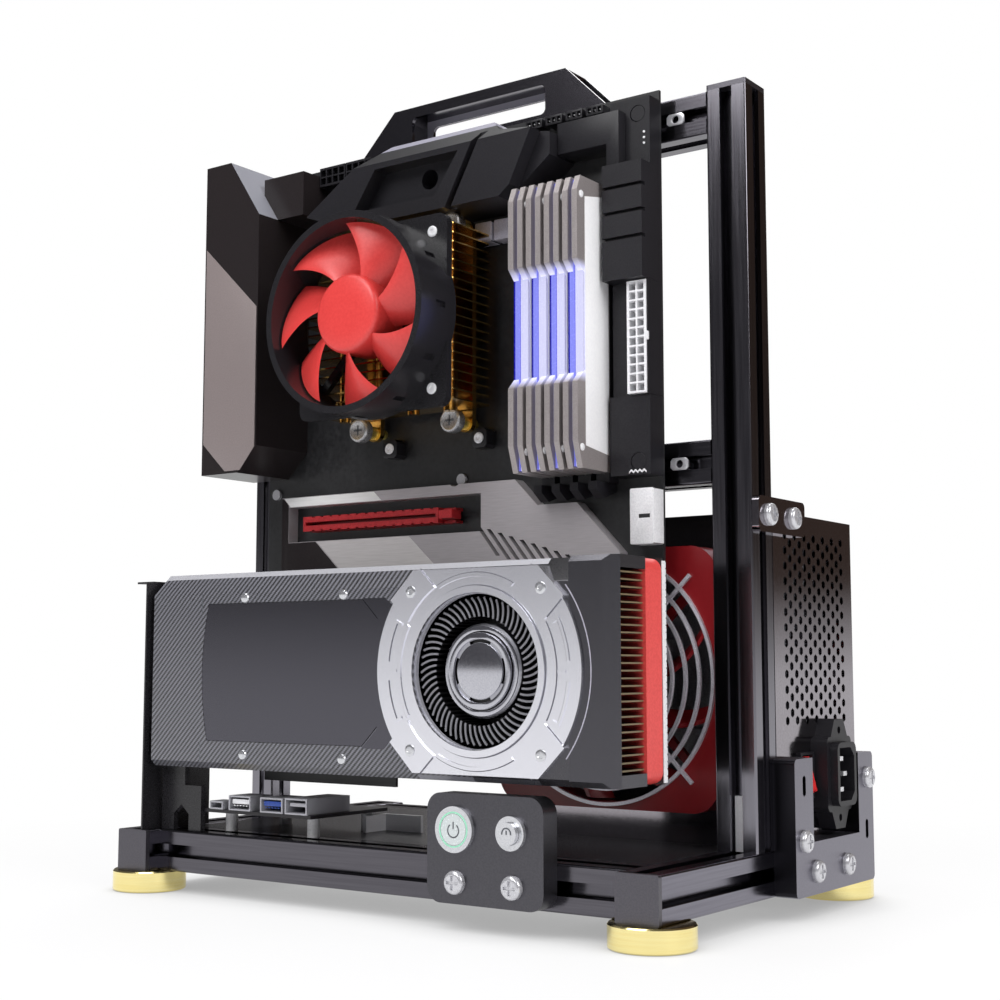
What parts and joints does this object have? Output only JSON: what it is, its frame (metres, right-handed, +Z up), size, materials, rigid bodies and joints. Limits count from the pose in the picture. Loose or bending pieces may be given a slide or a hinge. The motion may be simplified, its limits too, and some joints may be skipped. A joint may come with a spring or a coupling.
{
  "type": "open air test bench",
  "caption": "Open air computer test bench: slotted black frame on round feet that holds a vertical main board, cooler, graphics card and power supply, with a carrying handle and push buttons.",
  "frame": {"origin": "on the floor, under the middle of the whole bench's box", "axes": "+Z up, +X to the side with the mains inlet, -Y to the side with the buttons, which is the front"},
  "size_m": [0.3314, 0.212, 0.402],
  "materials": {
    "black_anodised": "glossy black anodised",
    "black_moulding": "satin black moulding",
    "gold_feet": "polished gold",
    "black_sheet": "black powder coat",
    "bright_steel": "bright",
    "button_metal": "black anodised",
    "button_face": "gloss, lit ring",
    "psu_steel": "bronze black coat",
    "red_plastic": "gloss red",
    "chrome_wire": "bright wire",
    "circuit_grey": "matt grey",
    "circuit_board": "matt black board",
    "brass_parts": "bright brass",
    "shroud_black": "gloss brown black",
    "heatsink_black": "black anodised",
    "white_nylon": "white",
    "cover_silver": "brushed silver",
    "slot_red": "dark red",
    "socket_black": "blue black",
    "memory_bronze": "bronze silver",
    "light_bar": "clear, lit blue",
    "copper": "bright copper",
    "card_black": "carbon weave",
    "window_dark": "dark smoked",
    "surround_silver": "bright silver",
    "band_red": "salmon red"
  },
  "bodies": {
    "bench": {"side_rail_left": "black_anodised", "side_rail_right": "black_anodised", "front_rail": "black_anodised", "rear_rail": "black_anodised", "post_right": "black_anodised", "post_left": "black_anodised", "crossbar_top": "black_anodised", "crossbar_middle": "black_anodised", "end_caps": "black_moulding", "power_inlet": "black_moulding", "power_switch_body": "black_moulding", "cpu_power_sockets": "black_moulding", "edge_cover": "black_moulding", "cooler_fan_frame": "black_moulding", "feet": "gold_feet", "base_plate": "black_sheet", "handle": "black_sheet", "button_plate": "black_sheet", "psu_top_bracket": "black_sheet", "psu_plate": "black_sheet", "card_support": "black_sheet", "card_baseplate": "black_sheet", "corner_brackets": "bright_steel", "plate_screws": "bright_steel", "board_standoffs": "bright_steel", "cooler_screws": "bright_steel", "card_bracket": "bright_steel", "io_ports": "bright_steel", "button_bodies": "button_metal", "psu_case": "psu_steel", "psu_fan_frame": "red_plastic", "psu_fan_guard": "chrome_wire", "psu_circuit": "circuit_grey", "mainboard": "circuit_board", "card_board": "circuit_board", "usb_board": "circuit_board", "inlet_pins": "brass_parts", "io_shroud": "shroud_black", "vrm_heatsink": "heatsink_black", "main_power_socket": "white_nylon", "chipset_cover": "cover_silver", "pcie_slot": "slot_red", "memory_slots": "socket_black", "memory_modules": "memory_bronze", "memory_light_bars": "light_bar", "cooler_base": "copper", "cooler_fins": "copper", "card_fins": "copper", "card_shroud": "card_black", "card_end_cap": "card_black", "card_window": "window_dark", "card_fan_surround": "surround_silver", "card_red_band": "band_red"},
    "cooler_fan_wheel": {"cooler_fan_rotor": "red_plastic"},
    "card_fan_wheel": {"card_impeller": "card_black"},
    "psu_fan_wheel": {"psu_fan_rotor": "red_plastic"},
    "power_button": {"power_button_cap": "button_face"},
    "reset_button": {"reset_button_cap": "button_face"},
    "psu_rocker": {"power_switch_rocker": "red_plastic"},
    "slot_latch": {"pcie_latch": "slot_red"}
  },
  "joints": [
    {"name": "cooler_fan_spin", "type": "hinge", "parent": "bench", "child": "cooler_fan_wheel", "pos_m": [-0.0227, -0.075, 0.277], "axis": [0, 1, 0], "continuous": true},
    {"name": "card_fan_spin", "type": "hinge", "parent": "bench", "child": "card_fan_wheel", "pos_m": [0.0623, -0.085, 0.1085], "axis": [0, 1, 0], "continuous": true},
    {"name": "psu_fan_spin", "type": "hinge", "parent": "bench", "child": "psu_fan_wheel", "pos_m": [0.0713, -0.003, 0.105], "axis": [0, 1, 0], "continuous": true},
    {"name": "power_button_press", "type": "slide", "parent": "bench", "child": "power_button", "axis": [0, 1, 0], "range_m": [0, 0.0015], "stiffness_N_per_m": 800},
    {"name": "reset_button_press", "type": "slide", "parent": "bench", "child": "reset_button", "axis": [0, 1, 0], "range_m": [0, 0.0015], "stiffness_N_per_m": 800},
    {"name": "psu_switch_rock", "type": "hinge", "parent": "bench", "child": "psu_rocker", "pos_m": [0.1513, 0.032, 0.061], "axis": [0, 1, 0], "range_deg": [0, 24]},
    {"name": "slot_latch_swing", "type": "hinge", "parent": "bench", "child": "slot_latch", "pos_m": [-0.0037, -0.026, 0.184], "axis": [0, 0, 1], "range_deg": [0, 25]}
  ]
}
